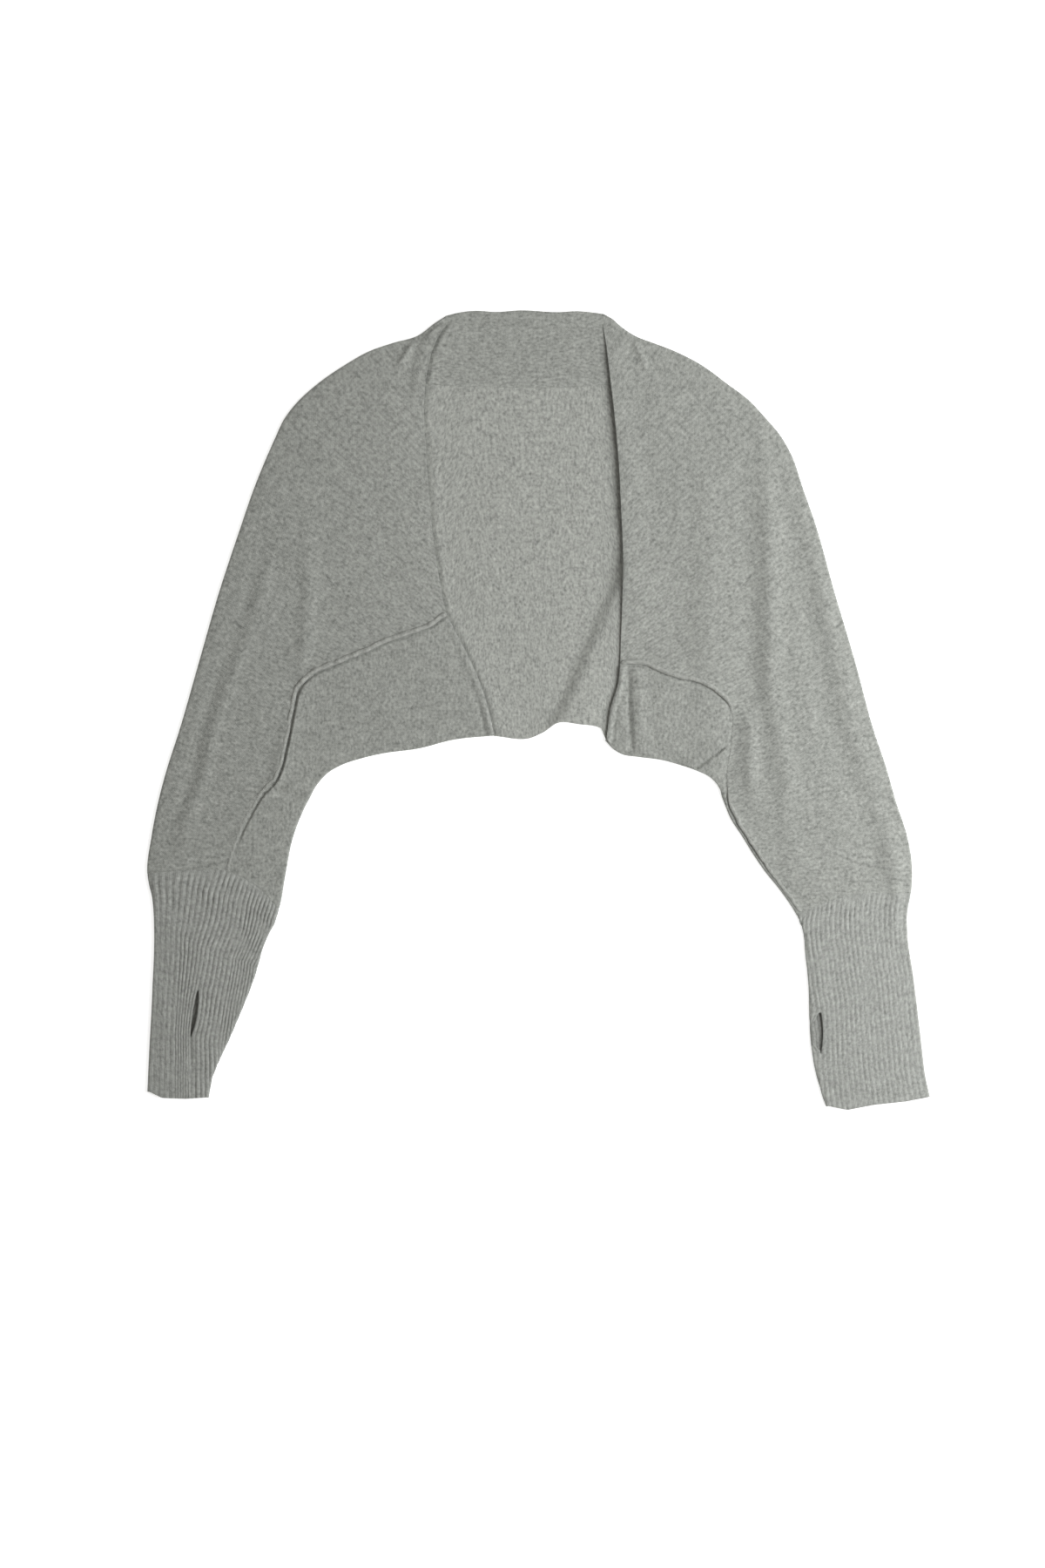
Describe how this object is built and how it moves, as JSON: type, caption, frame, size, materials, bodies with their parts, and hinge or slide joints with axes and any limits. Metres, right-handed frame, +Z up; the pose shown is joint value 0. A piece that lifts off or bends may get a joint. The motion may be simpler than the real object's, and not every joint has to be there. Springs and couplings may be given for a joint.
{
  "type": "knitted shrug",
  "caption": "Open knitted shrug laid flat, with wide curved sleeves into ribbed thumb-hole cuffs and a turned-over neck band.",
  "frame": {"origin": "centre of the bounding box, on the surface that the shrug lies on", "axes": "+Z up from the surface through the cloth, +Y towards the neck along the shrug's length, +X to the viewer's right looking down"},
  "size_m": [0.7009, 0.7151, 0.0108],
  "materials": {
    "knit": "heather grey plain knit, right side",
    "knit_inside": "heather grey plain knit, wrong side",
    "rib": "heather grey rib knit",
    "seam": "heather grey rolled seam"
  },
  "bodies": {
    "root": {"back": "knit_inside", "front_left": "knit", "front_right": "knit", "gusset_left": "knit", "gusset_right": "knit", "neck_band": "knit", "seam_left": "seam", "seam_right": "seam", "cuff_left": "rib", "cuff_right": "rib"}
  },
  "joints": []
}
